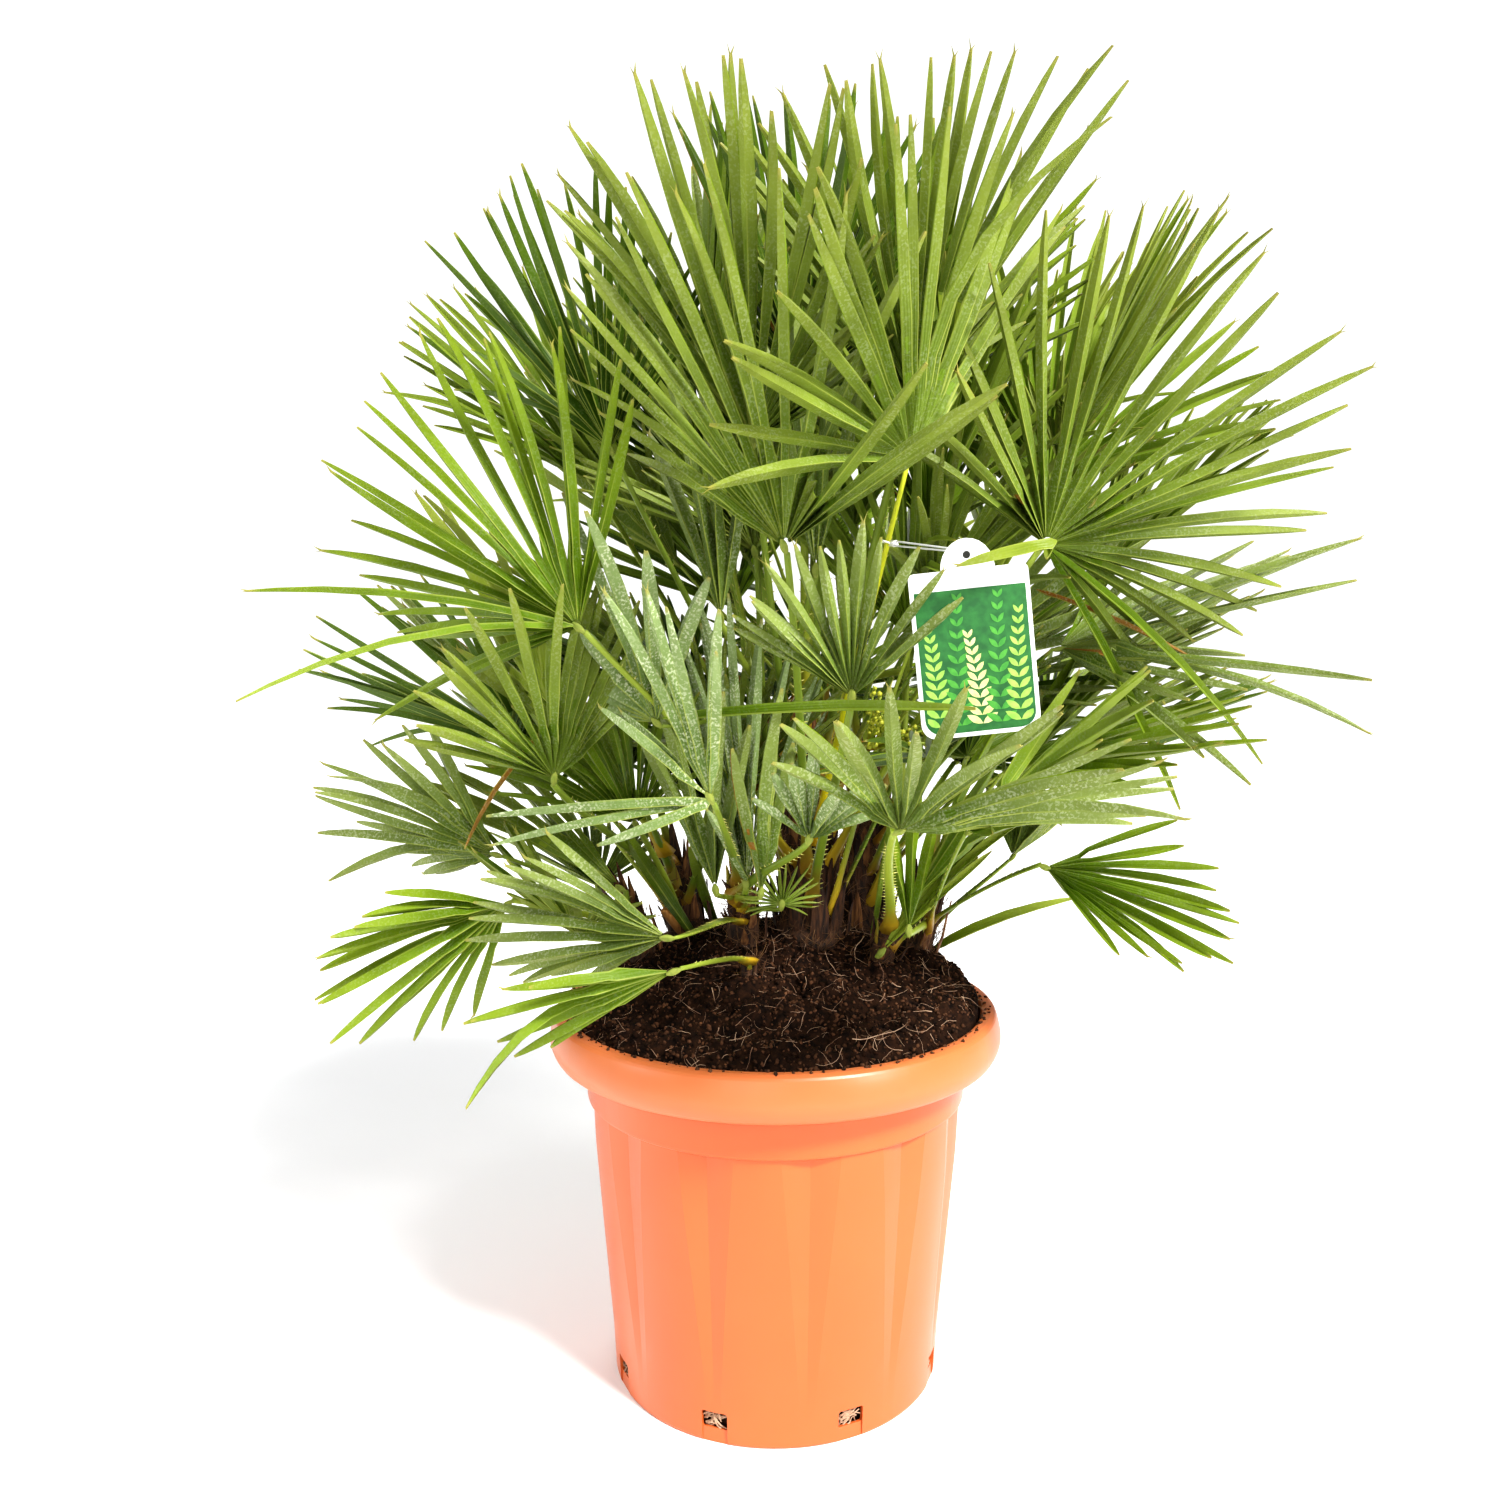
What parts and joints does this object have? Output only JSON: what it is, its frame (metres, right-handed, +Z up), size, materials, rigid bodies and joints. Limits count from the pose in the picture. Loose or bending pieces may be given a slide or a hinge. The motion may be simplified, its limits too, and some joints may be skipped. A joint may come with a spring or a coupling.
{
  "type": "potted european fan palm",
  "caption": "Bushy many-stemmed fan palm with stiff pleated fronds, standing in a tapered round nursery pot with a rolled rim, wedge flutes and drain slots.",
  "frame": {"origin": "middle of the pot's flat underside", "axes": "+Z up, -Y towards the front as pictured, +X to the right as pictured"},
  "size_m": [0.7267, 0.8017, 0.8856],
  "materials": {
    "pot": "satin",
    "soil": "rough and moist",
    "stem": "rough and fibrous",
    "frond": "satin",
    "young_leaf": "satin, with pale scurf",
    "hang_tag": "gloss"
  },
  "bodies": {
    "root": {"pot": "pot", "soil": "soil", "trunk": "stem", "rear_trunk": "stem", "left_sucker": "stem", "outer_sucker": "stem", "front_shoot": "stem", "right_sucker": "stem", "side_shoot": "stem", "small_shoot": "stem", "frond_01": "frond", "frond_02": "frond", "frond_03": "frond", "frond_04": "frond", "frond_05": "frond", "frond_06": "frond", "frond_07": "frond", "frond_08": "frond", "frond_09": "frond", "frond_10": "frond", "frond_11": "frond", "frond_12": "frond", "frond_13": "frond", "frond_14": "frond", "frond_15": "frond", "frond_16": "frond", "young_leaves_trunk": "young_leaf", "young_leaves_rear_trunk": "young_leaf", "young_leaves_left_sucker": "young_leaf", "young_leaves_front_shoot": "young_leaf", "young_leaves_side_shoot": "young_leaf", "frond_17": "frond", "frond_18": "frond", "frond_19": "frond", "frond_20": "frond", "frond_21": "frond", "frond_22": "frond", "frond_23": "frond", "frond_24": "frond", "frond_25": "frond", "frond_26": "frond", "frond_27": "frond", "frond_28": "frond", "frond_29": "frond", "frond_30": "frond", "frond_31": "frond", "frond_32": "frond", "frond_33": "frond", "frond_34": "frond", "frond_35": "frond", "frond_36": "frond", "frond_37": "frond", "frond_38": "frond", "frond_39": "frond", "frond_40": "frond", "frond_41": "frond", "frond_42": "frond", "frond_43": "frond", "frond_44": "frond", "hang_tag": "hang_tag"}
  },
  "joints": []
}
